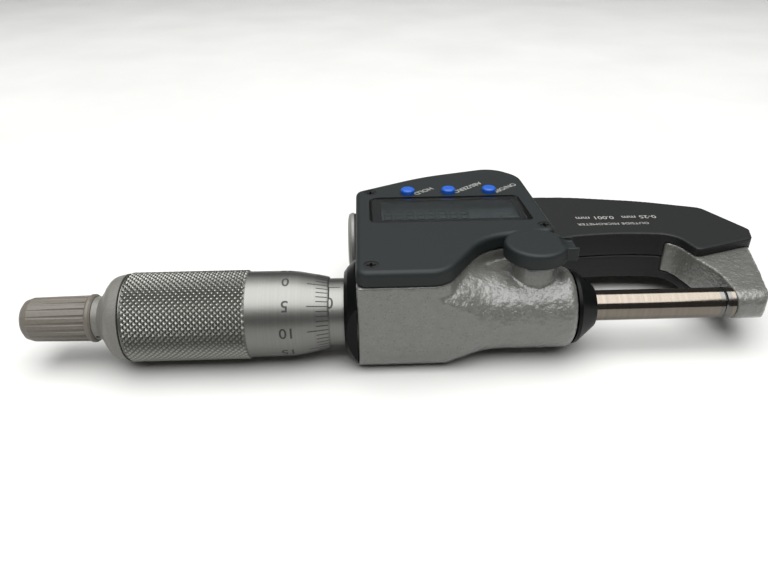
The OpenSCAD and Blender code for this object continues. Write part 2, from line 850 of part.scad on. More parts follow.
frame();
front_bow_plate();
back_bow_plate();
bow_plate_screws();
anvil();
anvil_tip();
spindle();
spindle_tip();
nose_ring();
wiper_seal();
front_bush();
clamp_ring();
guide_bush();
clamp_shaft();
clamp_knob();
encoder_stator();
encoder_rotor();
rotor_bush();
rotor_key();
rotor_retainer();
thread_nut();
adjusting_nut();
graduated_sleeve();
collar();
thimble();
ratchet_housing();
ratchet_ring();
ratchet_spring();
ratchet_knob();
ratchet_screw();
knob_plug();
display_cover();
cover_gasket();
cover_screws();
display_window();
lcd_panel();
zebra_strip();
circuit_board();
dome_switches();
left_button();
middle_button();
right_button();
battery_cell();
battery_cap();
cap_o_ring();
battery_contact();
data_connector();
port_gasket();
port_cap();
port_cap_screws();
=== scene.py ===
# %% [markdown]
# # A digital outside micrometer, lying on its back
# This lesson dresses a machine-made frame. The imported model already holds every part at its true
# size and place, so the work here is the surface of things: cast and enamelled metal, knurling,
# engraved scales, moulded covers and printing. All lengths are written in millimetres and turned
# into metres with MM, because the frame is in metres.

# %% Load the frame
import math
import bmesh
import bpy
from mathutils import Matrix, Vector, noise


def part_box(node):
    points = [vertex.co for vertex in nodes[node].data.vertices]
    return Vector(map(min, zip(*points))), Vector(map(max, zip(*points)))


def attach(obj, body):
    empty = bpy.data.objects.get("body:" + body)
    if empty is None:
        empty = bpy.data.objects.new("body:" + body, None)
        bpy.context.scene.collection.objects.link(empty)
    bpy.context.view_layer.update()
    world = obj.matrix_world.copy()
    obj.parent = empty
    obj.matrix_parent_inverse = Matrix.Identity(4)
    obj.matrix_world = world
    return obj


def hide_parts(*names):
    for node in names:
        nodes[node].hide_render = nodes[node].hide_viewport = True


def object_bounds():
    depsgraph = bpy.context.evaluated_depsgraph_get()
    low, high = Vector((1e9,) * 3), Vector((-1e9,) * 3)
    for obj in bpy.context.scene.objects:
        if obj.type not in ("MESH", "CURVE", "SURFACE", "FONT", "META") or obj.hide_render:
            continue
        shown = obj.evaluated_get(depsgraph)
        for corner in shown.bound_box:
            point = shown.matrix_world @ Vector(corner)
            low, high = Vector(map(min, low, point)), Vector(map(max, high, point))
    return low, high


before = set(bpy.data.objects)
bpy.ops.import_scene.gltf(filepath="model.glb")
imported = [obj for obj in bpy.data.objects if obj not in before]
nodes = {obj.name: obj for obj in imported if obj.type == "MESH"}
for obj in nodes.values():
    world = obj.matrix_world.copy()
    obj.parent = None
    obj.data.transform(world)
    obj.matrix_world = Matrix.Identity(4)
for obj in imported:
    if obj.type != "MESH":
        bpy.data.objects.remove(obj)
MM = 0.001
cad_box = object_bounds()
print("CAD box, mm:", [round(side / MM, 2) for side in cad_box[1] - cad_box[0]])

# %% [markdown]
# ## The camera
# The instrument is seen from its front long side, from 30 degrees above the bench and from close
# by, with a short lens. The camera's directions are worked out from its heading, its downward
# pitch and a very small roll.

# %% Camera
SENSOR_WIDTH = 36.0
LENS = 30.59
CAMERA_AT = Vector((-73.71, -114.52, 72.19)) * MM
HEADING, PITCH, ROLL = 0.02843, 0.52828, -0.01018

sight = Vector((math.sin(HEADING) * math.cos(PITCH), math.cos(HEADING) * math.cos(PITCH),
                -math.sin(PITCH)))
level = Vector((math.cos(HEADING), -math.sin(HEADING), 0))
upright = level.cross(sight)
right = math.cos(ROLL) * level + math.sin(ROLL) * upright
up = math.cos(ROLL) * upright - math.sin(ROLL) * level
lens = bpy.data.cameras.new("bench_camera")
lens.lens, lens.sensor_width, lens.clip_start = LENS, SENSOR_WIDTH, 0.01
camera = bpy.data.objects.new("bench_camera", lens)
facing = Matrix((right, up, -sight)).transposed().to_4x4()
camera.matrix_world = Matrix.Translation(CAMERA_AT) @ facing
bpy.context.scene.collection.objects.link(camera)
bpy.context.scene.camera = camera
print("camera looks down by", round(math.degrees(PITCH), 1), "degrees")

# %% [markdown]
# ## Light and floor
# One very large softbox hangs over the bench, a little to the near side. Turned parts then carry one
# broad bright band above their middle, while the parts that face the viewer reflect the dim room and
# stay dark, which is what gives polished metal its shape. A small weak one behind rims the tops of
# the round parts. The room itself is a weak even grey.

# %% Lights
def softbox(name, at, aim, size, power):
    """A square area light at a place, facing another. Places and size are in millimetres, power in
    watts."""
    light = bpy.data.lights.new(name, "AREA")
    light.shape, light.size, light.energy = "SQUARE", size * MM, power
    lamp = bpy.data.objects.new(name, light)
    toward = (Vector(aim) - Vector(at)) * MM
    turn = toward.to_track_quat("-Z", "Y").to_matrix().to_4x4()
    lamp.matrix_world = Matrix.Translation(Vector(at) * MM) @ turn
    bpy.context.scene.collection.objects.link(lamp)


MIDDLE = (-65, 10, 0)
ROOM_GLOW = 0.11
softbox("overhead_softbox", (-75, -110, 800), MIDDLE, 1200, 21)
softbox("back_softbox", (-60, 720, 780), MIDDLE, 380, 0.75)
world = bpy.data.worlds.new("studio")
world.use_nodes = True
room = world.node_tree.nodes["Background"].inputs
room["Color"].default_value = (1, 1, 1, 1)
room["Strength"].default_value = ROOM_GLOW
bpy.context.scene.world = world
bpy.context.scene.view_settings.view_transform = "Standard"
print("lights:", [lamp.name for lamp in bpy.data.lights])

# %% [markdown]
# ## Helpers for finishes
# A finish is a small tree of shader nodes. One function turns a colour as a painter writes it into
# the linear numbers that the shader needs, one adds a node with its settings and links, and one
# starts a finish with its surface, so that each finish below shows only what is special about it.

# %% Finish helpers
def linear(hex_code):
    """The linear colour of an sRGB hex code such as "#8e8f8a"."""
    parts = [int(hex_code[i:i + 2], 16) / 255 for i in (1, 3, 5)]
    return [c / 12.92 if c <= 0.04045 else ((c + 0.055) / 1.055) ** 2.4 for c in parts] + [1.0]


def add(tree, kind, sockets=None, **settings):
    """Adds a node. Sockets take a value, or the output of another node that they are linked from."""
    made = tree.nodes.new(kind)
    for name, value in settings.items():
        setattr(made, name, value)
    for socket, value in (sockets or {}).items():
        if isinstance(value, bpy.types.NodeSocket):
            tree.links.new(value, made.inputs[socket])
        else:
            made.inputs[socket].default_value = value
    return made


def start_finish(name, **sockets):
    """A material with a principled surface. Returns it with its tree, its surface and its place."""
    material = bpy.data.materials.new(name)
    material.use_nodes = True
    tree = material.node_tree
    tree.nodes.clear()
    named = {key.replace("_", " "): value for key, value in sockets.items()}
    surface = add(tree, "ShaderNodeBsdfPrincipled", named)
    add(tree, "ShaderNodeOutputMaterial", {"Surface": surface.outputs[0]})
    return material, tree, surface, add(tree, "ShaderNodeTexCoord").outputs["Object"]


def blend_colours(tree, share, dark, light):
    """Mixes two hex colours by a share from 0 to 1. The sockets are numbered, as their names repeat."""
    sockets = {0: share, 6: linear(dark), 7: linear(light)}
    return add(tree, "ShaderNodeMix", sockets, data_type="RGBA").outputs[2]


def spread(tree, value, low, high, start=0.3, end=0.7):
    """Stretches a pattern's middle range, start to end, over low to high."""
    sockets = {"Value": value, "From Min": start, "From Max": end, "To Min": low, "To Max": high}
    return add(tree, "ShaderNodeMapRange", sockets).outputs[0]


def grained(name, dark, light, grain, matt, relief=0.0, **sockets):
    """A finish with an even grain. Its colour varies from dark to light and its roughness over matt,
    in patches of grain millimetres, and its surface rises and falls by relief millimetres."""
    material, tree, surface, place = start_finish(name, **sockets)
    patches = {"Vector": place, "Scale": 1 / (grain * MM), "Detail": 4.0, "Roughness": 0.6}
    pattern = add(tree, "ShaderNodeTexNoise", patches).outputs[0]
    colour = blend_colours(tree, spread(tree, pattern, 0, 1), dark, light)
    tree.links.new(colour, surface.inputs["Base Color"])
    tree.links.new(spread(tree, pattern, *matt), surface.inputs["Roughness"])
    if relief:
        bump = add(tree, "ShaderNodeBump", {"Height": pattern, "Distance": relief * MM, "Strength": 1.0})
        tree.links.new(bump.outputs[0], surface.inputs["Normal"])
    return material


# %% [markdown]
# ### Floor
# The bench is a sheet of pale grey card, lit until it looks white. As the card throws back only half
# of the light, the undersides stay darker than the tops. It has a faint unevenness so that it isn't a
# dead flat tone, and it lies just under the lowest point of the instrument.

# %% Floor
BENCH_REACH = 4000
BENCH_GAP = 0.02
bench_card = grained("pale_grey_card", "#c3c3c1", "#c9c9c7", 60, (0.75, 0.85))
bench = bmesh.new()
bmesh.ops.create_grid(bench, x_segments=1, y_segments=1, size=BENCH_REACH * MM)
bmesh.ops.translate(bench, verts=bench.verts, vec=(0, 0, cad_box[0].z - BENCH_GAP * MM))
floor_mesh = bpy.data.meshes.new("bench")
bench.to_mesh(floor_mesh)
floor_mesh.materials.append(bench_card)
floor = bpy.data.objects.new("bench", floor_mesh)
bpy.context.scene.collection.objects.link(floor)
print("floor at", round(cad_box[0].z / MM - BENCH_GAP, 2), "mm")

# %% [markdown]
# ## Hammered enamel
# The casting is sprayed with a grey hammer enamel: as it dries it draws into rounded islands one or
# two millimetres across with thin valleys between them. The large islands are modelled in the mesh
# further on. Here a cell pattern gives the small ones, and a fine noise gives sparse dark pits and
# painted glints, pale flecks in the colour that stand in for sparkle. A clear glossy skin lies on top;
# its own short wrinkles break the softbox's reflection into sparkles wherever the casting faces up.

# %% Enamel
ISLAND, ISLAND_RISE = 1.7, 0.1
EDGE_WANDER = 1.3
FLECK = 0.28
WRINKLE, WRINKLE_RISE = 0.75, 0.3
enamel, tree, surface, place = start_finish("hammered_grey_enamel", Coat_Weight=1.0, Coat_Roughness=0.06)
wander = add(tree, "ShaderNodeTexNoise",
             {"Vector": place, "Scale": 1 / (ISLAND * MM), "Detail": 2.0})
shift = add(tree, "ShaderNodeVectorMath", {0: wander.outputs["Color"], 3: EDGE_WANDER * MM},
            operation="SCALE")
bent = add(tree, "ShaderNodeVectorMath", {0: place, 1: shift.outputs[0]}, operation="ADD")
islands = add(tree, "ShaderNodeTexVoronoi",
              {"Vector": bent.outputs[0], "Scale": 1 / (ISLAND * MM), "Smoothness": 0.8},
              feature="SMOOTH_F1")
fleck = add(tree, "ShaderNodeTexNoise",
            {"Vector": place, "Scale": 1 / (FLECK * MM), "Detail": 2.0})
tone = spread(tree, islands.outputs["Distance"], 0.75, 0.6, 0.1, 0.75)
pits = spread(tree, fleck.outputs[0], -0.75, 0, 0.27, 0.36)
# Painted glints: pale flecks in the colour that stand in for the enamel's sparkle.
painted_glints = spread(tree, fleck.outputs[0], 0, 0.35, 0.62, 0.7)
speckle = add(tree, "ShaderNodeMath", {0: pits, 1: painted_glints}, operation="ADD").outputs[0]
both = add(tree, "ShaderNodeMath", {0: tone, 1: speckle}, operation="ADD").outputs[0]
tree.links.new(blend_colours(tree, both, "#30312d", "#63645f"), surface.inputs["Base Color"])
tree.links.new(spread(tree, fleck.outputs[0], 0.28, 0.45), surface.inputs["Roughness"])
height = spread(tree, islands.outputs["Distance"], 1, 0, 0.0, 0.9)
swell = add(tree, "ShaderNodeBump",
            {"Height": height, "Distance": ISLAND_RISE * MM, "Strength": 1.0})
wrinkles = add(tree, "ShaderNodeTexNoise",
               {"Vector": place, "Scale": 1 / (WRINKLE * MM), "Detail": 2.0})
skin = add(tree, "ShaderNodeBump",
           {"Height": wrinkles.outputs[0], "Distance": WRINKLE_RISE * MM, "Strength": 1.0,
            "Normal": swell.outputs[0]})
tree.links.new(swell.outputs[0], surface.inputs["Normal"])
tree.links.new(skin.outputs[0], surface.inputs["Coat Normal"])
print(enamel.name, "has", len(tree.nodes), "nodes")

# %% [markdown]
# ## Metals
# Three metals show. The thimble and sleeve are chromed over a blasted surface, which gives a silky
# grey without a clear reflection, with faint rings left by the lathe. The spindle is ground and
# lapped, nearly a mirror that carries the light as one sharp band. The measuring faces are carbide,
# darker and greyer. Machined steel and bearing bronze are on the parts held inside.

# %% Turned metals
BLAST = 0.12


def turned_metal(name, dark, light, ring, matt, relief, **sockets):
    """Metal from a lathe or cylindrical grinder. It has rings about X, ring millimetres wide, over a
    fine blasted grain, its roughness varies over matt, and both stand relief millimetres high."""
    material, tree, surface, place = start_finish(name, Metallic=1.0, **sockets)
    along = add(tree, "ShaderNodeSeparateXYZ", {0: place}).outputs["X"]
    rings = add(tree, "ShaderNodeTexNoise", {"W": along, "Scale": 1 / (ring * MM), "Detail": 3.0},
                noise_dimensions="1D").outputs[0]
    blast = add(tree, "ShaderNodeTexNoise",
                {"Vector": place, "Scale": 1 / (BLAST * MM), "Detail": 2.0}).outputs[0]
    mixed = add(tree, "ShaderNodeMath", {0: rings, 1: blast}, operation="ADD").outputs[0]
    colour = blend_colours(tree, spread(tree, mixed, 0, 1, 0.7, 1.3), dark, light)
    tree.links.new(colour, surface.inputs["Base Color"])
    tree.links.new(spread(tree, mixed, *matt, 0.7, 1.3), surface.inputs["Roughness"])
    bump = add(tree, "ShaderNodeBump", {"Height": mixed, "Distance": relief * MM, "Strength": 1.0})
    tree.links.new(bump.outputs[0], surface.inputs["Normal"])
    return material


satin_chrome = turned_metal("satin_chrome", "#6d6d6a", "#757572", 0.5, (0.36, 0.42), 0.0004)
ground_steel = turned_metal("ground_steel", "#6c655d", "#777067", 0.9, (0.1, 0.15), 0.0002)
carbide = turned_metal("lapped_carbide", "#5e5d5b", "#6b6a67", 0.4, (0.12, 0.2), 0.0002)
plain_steel = turned_metal("machined_steel", "#6d6d6a", "#7d7d7a", 0.3, (0.25, 0.4), 0.001)
bronze = turned_metal("bearing_bronze", "#8d6a38", "#b08a52", 0.3, (0.3, 0.45), 0.001)
turned_metals = (satin_chrome, ground_steel, carbide, plain_steel, bronze)
print("turned metals:", [metal.name for metal in turned_metals])

# %% [markdown]
# ### Chrome on the knurling
# The knurling has the thimble's chrome. Handling keeps its points bright, and shade in the grooves
# is painted in as darker colour. So the colour runs from dark at the grooves' radius to light at the
# points' radius, which is read from the distance to the spindle's axis.

# %% Knurled chrome
KNURL_PEAK = 9.16
KNURL_VALLEY = 8.88
knurled_chrome, tree, surface, place = start_finish("knurled_satin_chrome", Metallic=1.0)
axes = add(tree, "ShaderNodeSeparateXYZ", {0: place})
across = add(tree, "ShaderNodeCombineXYZ",
             {"Y": axes.outputs["Y"], "Z": axes.outputs["Z"]}).outputs[0]
from_axis = add(tree, "ShaderNodeVectorMath", {0: across}, operation="LENGTH").outputs["Value"]
# Painted shade darkens the grooves, and the points are lighter where handling wears them.
wear_and_groove_shade = spread(tree, from_axis, 0, 1, (KNURL_VALLEY - 0.02) * MM, (KNURL_PEAK - 0.04) * MM)
tree.links.new(blend_colours(tree, wear_and_groove_shade, "#5d5d5a", "#8c8c87"), surface.inputs["Base Color"])
tree.links.new(spread(tree, wear_and_groove_shade, 0.5, 0.28, 0, 1), surface.inputs["Roughness"])
print("knurl from", KNURL_VALLEY, "to", KNURL_PEAK, "mm from the axis")

# %% [markdown]
# ## Plastics, lacquer and rubber
# The bow plates and the display cover are glass-filled moulded plastic with a spark-eroded texture:
# a very fine grain that spreads highlights and keeps them weak. The cover is a cool charcoal, the
# plates a neutral black. The ratchet's knob is moulded in a warm grey and its housing in a lighter
# one. The buttons are a clear blue with a soft shine. Black lacquer on the collar and nose ring is
# smoother, so it shows a faint band of light, and rubber is duller than everything else.

# %% Plastics, lacquer and rubber
plate_plastic = grained("textured_black_plastic", "#0d0f0e", "#151716", 0.22, (0.5, 0.6), 0.014,
                        Specular_IOR_Level=0.3)
cover_plastic = grained("textured_charcoal_plastic", "#111616", "#181e1e", 0.2, (0.5, 0.6), 0.012,
                        Specular_IOR_Level=0.3)
warm_plastic = grained("warm_grey_plastic", "#58534c", "#625d55", 0.5, (0.42, 0.52), 0.006)
bell_plastic = grained("light_grey_plastic", "#5f5e59", "#6a6963", 0.5, (0.36, 0.46), 0.004)
button_plastic = grained("moulded_blue_plastic", "#08459a", "#0c50ac", 0.3, (0.4, 0.5), 0.004)
black_enamel = grained("glossy_black_lacquer", "#040505", "#080909", 0.4, (0.32, 0.4),
                       Specular_IOR_Level=0.12)
rubber = grained("black_rubber", "#141414", "#1f1f1f", 0.2, (0.7, 0.85), 0.01)
connector_plastic = grained("black_nylon", "#151515", "#1e1e1e", 0.2, (0.5, 0.6), 0.006)
print("bow plates:", plate_plastic.name, "- cover:", cover_plastic.name)

# %% [markdown]
# ## Small metal parts, board and window
# The screws are blacked steel, which keeps a little of the metal's gleam. The battery cap is die-cast
# alloy with a satin coat, a soft silver grey. Inside are the board's green solder lacquer and gold
# plating on the contacts. The window is slightly smoked acrylic: clear and glossy, so it darkens the
# display and catches a faint reflection.

# %% Small parts
screw_black = grained("blacked_steel", "#1a1a1a", "#2b2b2b", 0.15, (0.35, 0.5), 0.004, Metallic=0.6)
cap_alloy = grained("satin_die_cast_alloy", "#777774", "#858582", 0.3, (0.4, 0.5), 0.006, Metallic=0.3)
board_lacquer = grained("green_solder_lacquer", "#0f4a2a", "#1a6238", 0.4, (0.3, 0.45), 0.004)
gilt = grained("gold_plating", "#b8912f", "#d9b65a", 0.2, (0.2, 0.3), 0.002, Metallic=1.0)
window_acrylic = grained("smoked_acrylic", "#e6eaea", "#f0f3f3", 2.0, (0.04, 0.07),
                         Transmission_Weight=1.0, IOR=1.49)
print("window:", window_acrylic.name)

# %% [markdown]
# ## Inks and the display's glass
# Ink for the scales is matt black, and print on the covers is a pale grey that reads softly on black.
# The display's mask is black ink under the window, and a switched-off segment is barely darker than
# the glass round it. The glass itself is a dull green-grey reflector. The deep window throws a shadow
# over its far half, so the finish runs from a darker tone there to a paler one on the near side, with
# a soft uneven edge between them.

# %% Inks and glass
ink_black = grained("black_scale_ink", "#161616", "#242424", 0.15, (0.5, 0.6))
mask_black = grained("black_display_mask", "#0b0e0f", "#121617", 0.6, (0.4, 0.5))
ink_segment = grained("display_segment", "#141819", "#1a1f20", 0.3, (0.3, 0.4))
ink_grey = grained("pale_grey_print", "#82827e", "#90908c", 0.15, (0.5, 0.6))

FRAME_SHADOW = 20.3
display_glass, tree, surface, place = start_finish("display_glass", Roughness=0.3)
toward_far = add(tree, "ShaderNodeSeparateXYZ", {0: place}).outputs["Y"]
cloud = add(tree, "ShaderNodeTexNoise",
            {"Vector": place, "Scale": 1 / (4 * MM), "Detail": 2.0}).outputs[0]
edge = add(tree, "ShaderNodeMath", {0: cloud, 1: 1.2 * MM, 2: toward_far},
           operation="MULTIPLY_ADD").outputs[0]
lit = spread(tree, edge, 1, 0, (FRAME_SHADOW - 0.2) * MM, (FRAME_SHADOW + 1.4) * MM)
tree.links.new(blend_colours(tree, lit, "#1f2626", "#3d4547"), surface.inputs["Base Color"])
print("shadow on the glass from", FRAME_SHADOW, "mm")

# %% [markdown]
# ## Handing out the finishes
# Each CAD part comes with a slot that says what it is made of, and one table turns a slot into its
# finish. Only the ratchet's housing differs from its slot, as it is moulded in the lighter grey.

# %% Finishes on the CAD parts
finish_of_slot = {
    "grey_enamel": enamel, "bow_plastic": plate_plastic, "screw_black": screw_black,
    "ground_steel": ground_steel, "carbide": carbide, "collar_black": black_enamel,
    "seal_rubber": rubber, "bronze": bronze, "plain_steel": plain_steel,
    "satin_chrome": satin_chrome, "knob_plastic": warm_plastic, "cover_plastic": cover_plastic,
    "window_acrylic": window_acrylic, "lcd_grey": display_glass, "board_green": board_lacquer,
    "button_blue": button_plastic, "cap_alloy": cap_alloy, "gold_contact": gilt,
    "screw_black_plastic": connector_plastic,
}
for part in nodes.values():
    for held in part.material_slots:
        held.material = finish_of_slot[held.material.name]
nodes["ratchet_housing"].material_slots[0].material = bell_plastic
print(len(finish_of_slot), "finishes on", len(nodes), "CAD parts")

# %% [markdown]
# ## Helpers for pieces
# New pieces are modelled in bmesh and finished the same way: doubles merged, normals outward, smooth
# shading with sharp edges kept, one material, and a CAD body to ride on. A merged copy of a CAD part
# is the start of each part that is cast or moulded.

# %% Piece helpers
def finished(bm, name, body, material, sharp_from=35):
    """Makes a bmesh into a piece that rides on a body. Edges steeper than sharp_from degrees stay
    sharp."""
    bmesh.ops.remove_doubles(bm, verts=bm.verts, dist=0.5e-6)
    bmesh.ops.recalc_face_normals(bm, faces=bm.faces)
    mesh = bpy.data.meshes.new(name)
    bm.to_mesh(mesh)
    bm.free()
    mesh.materials.append(material)
    mesh.shade_smooth()
    mesh.set_sharp_from_angle(angle=math.radians(sharp_from))
    piece = bpy.data.objects.new(name, mesh)
    bpy.context.scene.collection.objects.link(piece)
    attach(piece, body)
    triangles = sum(len(face.vertices) - 2 for face in mesh.polygons)
    print(name, "rides on", body, "with", triangles, "triangles")
    return piece


def merged_copy(node):
    """A CAD part's mesh as a bmesh with its loose triangles joined."""
    bm = bmesh.new()
    bm.from_mesh(nodes[node].data)
    bmesh.ops.remove_doubles(bm, verts=bm.verts, dist=2e-6)
    return bm


def after_modifiers(bm, add_modifiers):
    """The bmesh as it is after the modifiers that add_modifiers(object) puts on it."""
    mesh = bpy.data.meshes.new("work")
    bm.to_mesh(mesh)
    bm.free()
    work = bpy.data.objects.new("work", mesh)
    bpy.context.scene.collection.objects.link(work)
    add_modifiers(work)
    view = bpy.context.evaluated_depsgraph_get()
    made = bmesh.new()
    made.from_mesh(bpy.data.meshes.new_from_object(work.evaluated_get(view)))
    bpy.data.objects.remove(work)
    return made


def softened(node, grain, rounds):
    """A CAD part remeshed into even quads of grain millimetres and relaxed, so that its edges and
    inner corners become round, as on a casting or moulding."""
    def remesh(work):
        even = work.modifiers.new("even", "REMESH")
        even.mode, even.voxel_size = "VOXEL", grain * MM
    bm = after_modifiers(merged_copy(node), remesh)
    for _ in range(rounds):
        bmesh.ops.smooth_vert(bm, verts=bm.verts, factor=0.5, use_axis_x=True, use_axis_y=True,
                              use_axis_z=True)
    return bm


# %% [markdown]
# ## The casting
# Bow and housing are one iron casting, and where the barrel runs into the housing the inner corner is
# a soft fillet. Rebuilding the part in even quads and relaxing them gives every such corner and edge
# its round. Then the enamel's larger islands are modelled: a point goes inwards the more, the further
# it is from the middle of its cell, so nothing grows past the true size.

# %% Casting
RIPPLE, RIPPLE_DEPTH = 2.0, 0.07
cast = softened("frame", 0.4, 4)
cast.normal_update()
pushes = []
for point in cast.verts:
    near, second = noise.voronoi(point.co / (RIPPLE * MM))[0][:2]
    pushes.append(RIPPLE_DEPTH * MM * min(1.0, near / max(second, 1e-6)))
for point, push in zip(cast.verts, pushes):
    point.co -= point.normal * push
casting = finished(cast, "enamelled_casting", "frame_body", enamel, 60)
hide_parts("frame")

# %% [markdown]
# ## Bow plates
# Two plastic shells keep the warmth of the hand off the bow. They are mouldings with rounded rims
# that meet in a line round the middle.

# %% Bow plates
for node in ("front_bow_plate", "back_bow_plate"):
    shell = finished(softened(node, 0.3, 3), "moulded_" + node, "frame_body", plate_plastic, 60)
    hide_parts(node)

# %% [markdown]
# ## Display cover
# The cover is a flat moulding with a well-rounded rim, a sunk window and crisp holes. Relaxing would
# blur the holes, so it is built the way the tool is made. The outline is sliced from the CAD part,
# filled, extruded and bevelled, and then the openings are cut through it.

# %% Slices of a CAD part
def loops_at(node, z):
    """The closed loops of points where a level plane at z cuts a CAD part, widest first. The points
    are walked in the mesh's own order, so that every run gives the same loops."""
    bm = merged_copy(node)
    bmesh.ops.bisect_plane(bm, geom=bm.verts[:] + bm.edges[:] + bm.faces[:], dist=1e-7,
                           plane_co=(0, 0, z), plane_no=(0, 0, 1), clear_inner=True, clear_outer=True)
    bmesh.ops.remove_doubles(bm, verts=bm.verts, dist=5e-6)
    loops, left = [], set(bm.verts)
    for first in bm.verts:
        if first not in left:
            continue
        left.discard(first)
        chain = [first]
        while True:
            reached = [e.other_vert(chain[-1]) for e in chain[-1].link_edges]
            onward = [v for v in reached if v in left]
            if not onward:
                break
            left.discard(onward[0])
            chain.append(onward[0])
        loops.append([v.co.copy() for v in chain])
    bm.free()
    loops.sort(key=lambda loop: max(p.x for p in loop) - min(p.x for p in loop), reverse=True)
    return [loop for loop in loops if len(loop) > 3]


def prism(bm, loop, low, high):
    """Adds the upright prism of a loop of points between two heights."""
    base = bm.faces.new([bm.verts.new((p.x, p.y, low)) for p in loop])
    grown = bmesh.ops.extrude_face_region(bm, geom=[base])["geom"]
    top = [g for g in grown if isinstance(g, bmesh.types.BMVert)]
    bmesh.ops.translate(bm, verts=top, vec=(0, 0, high - low))


# %% [markdown]
# ### Body of the cover
# The outline is taken low on the side, under the rim. It is extruded to the full height, and its top
# edges are bevelled in five steps, which reads as the well-rounded rim of a moulding.

# %% Body of the cover
RIM_ROUND = 1.1
ABOVE_FOOT = 1.2
cover_low, cover_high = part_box("display_cover")
outline = loops_at("display_cover", cover_low.z + ABOVE_FOOT * MM)[0]
body = bmesh.new()
prism(body, outline, cover_low.z, cover_high.z)
bmesh.ops.recalc_face_normals(body, faces=body.faces)
rim = [e for e in body.edges if all(v.co.z > cover_high.z - 1e-6 for v in e.verts)]
bmesh.ops.bevel(body, geom=rim, offset=RIM_ROUND * MM, offset_type="OFFSET", affect="EDGES",
                segments=5, profile=0.5, material=-1, clamp_overlap=False)
print("outline of the cover has", len(outline), "points")

# %% [markdown]
# ### Openings of the cover
# A slice just under the top gives every opening, and its width tells which one it is. The widest is
# the window: it goes down to the pane, and a smaller opening under it leaves the ledge that the pane
# rests on. The buttons' holes go right through, and the screws' seats are only sunk.

# %% Cutters
BELOW_TOP = 0.15
WIDEST_HOLE = 20
WIDEST_SCREW = 3.2
SCREW_SINK = 1.0
WINDOW_LEDGE = 0.9
CUT_OVERLAP = 0.1
window_low, window_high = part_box("display_window")
cutters = bmesh.new()
openings = loops_at("display_cover", cover_high.z - BELOW_TOP * MM)[1:]
for loop in openings:
    middle = sum(loop, Vector()) / len(loop)
    spans = [max(p[i] for p in loop) - min(p[i] for p in loop) for i in (0, 1)]
    if spans[0] > WIDEST_HOLE * MM:
        prism(cutters, loop, window_low.z, cover_high.z + MM)
        shrink = [1 - 2 * WINDOW_LEDGE * MM / span for span in spans]
        pane = [Vector((middle.x + (p.x - middle.x) * shrink[0],
                        middle.y + (p.y - middle.y) * shrink[1], 0)) for p in loop]
        prism(cutters, pane, cover_low.z - MM, window_low.z + CUT_OVERLAP * MM)
    elif spans[0] > WIDEST_SCREW * MM:
        prism(cutters, loop, cover_low.z - MM, cover_high.z + MM)
    else:
        prism(cutters, loop, cover_high.z - SCREW_SINK * MM, cover_high.z + MM)
bmesh.ops.recalc_face_normals(cutters, faces=cutters.faces)
cutter_mesh = bpy.data.meshes.new("cutters")
cutters.to_mesh(cutter_mesh)
cutters.free()
cutter = bpy.data.objects.new("cutters", cutter_mesh)
bpy.context.scene.collection.objects.link(cutter)
print(len(openings), "openings to cut")

# %% [markdown]
# ### Cutting
# One boolean takes all the openings out, and a tiny bevel then breaks the sharp edges that it leaves,
# since a moulding has no knife edges. The large flat faces set the shading, so that the round edges
# don't darken them.

# %% Cover
BROKEN_EDGE = 0.12


def cut_and_break_edges(work):
    """Puts the boolean and the small bevel on the cover."""
    cut = work.modifiers.new("openings", "BOOLEAN")
    cut.operation, cut.object, cut.solver, cut.use_self = "DIFFERENCE", cutter, "EXACT", True
    soften = work.modifiers.new("broken_edges", "BEVEL")
    soften.width, soften.segments, soften.limit_method = BROKEN_EDGE * MM, 2, "ANGLE"
    soften.angle_limit, soften.use_clamp_overlap = math.radians(60), True


cover = finished(after_modifiers(body, cut_and_break_edges), "moulded_display_cover", "frame_body",
                 cover_plastic, 40)
bpy.data.objects.remove(cutter)
flat_faces = cover.modifiers.new("flat_faces", "WEIGHTED_NORMAL")
flat_faces.keep_sharp, flat_faces.weight = True, 100
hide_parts("display_cover")

# %% [markdown]
# ## Display
# A black mask is printed round the viewing area of the glass, and the segments of the switched-off
# digits still show as slightly darker bars. Both are thin films. The mask lies on the back of the
# window and is bridged between two rectangles. Each digit is seven small bars on the glass.

# %% Mask
VIEW_X, VIEW_Y = (-70.3, -40.2), (15.0, 25.3)
MASK_MARGIN_X, MASK_MARGIN_Y = (0.6, 1.0), 0.5
FILM = 0.04


def rectangle(bm, across, along, z):
    """Adds the four edges of a level rectangle, and returns them. Sizes are in millimetres."""
    corners = ((across[0], along[0]), (across[1], along[0]),
               (across[1], along[1]), (across[0], along[1]))
    points = [bm.verts.new((x * MM, y * MM, z * MM)) for x, y in corners]
    return [bm.edges.new((points[i - 1], points[i])) for i in range(4)]


mask = bmesh.new()
pane_low, pane_high = window_low / MM, window_high / MM
mask_z = pane_low.z + FILM
rims = rectangle(mask, (pane_low.x + MASK_MARGIN_X[0], pane_high.x - MASK_MARGIN_X[1]),
                 (pane_low.y + MASK_MARGIN_Y, pane_high.y - MASK_MARGIN_Y), mask_z)
rims += rectangle(mask, VIEW_X, VIEW_Y, mask_z)
band = bmesh.ops.bridge_loops(mask, edges=rims)["faces"]
bmesh.ops.solidify(mask, geom=band, thickness=FILM * MM)
finished(mask, "display_mask", "frame_body", mask_black)

# %% [markdown]
# ### Digits
# A digit has three level bars and four upright ones. Each bar is a little shorter than the side of the
# figure eight that it lies on, which leaves the small gaps at the corners. Eight digits stand in a row
# from the left of the viewing area.

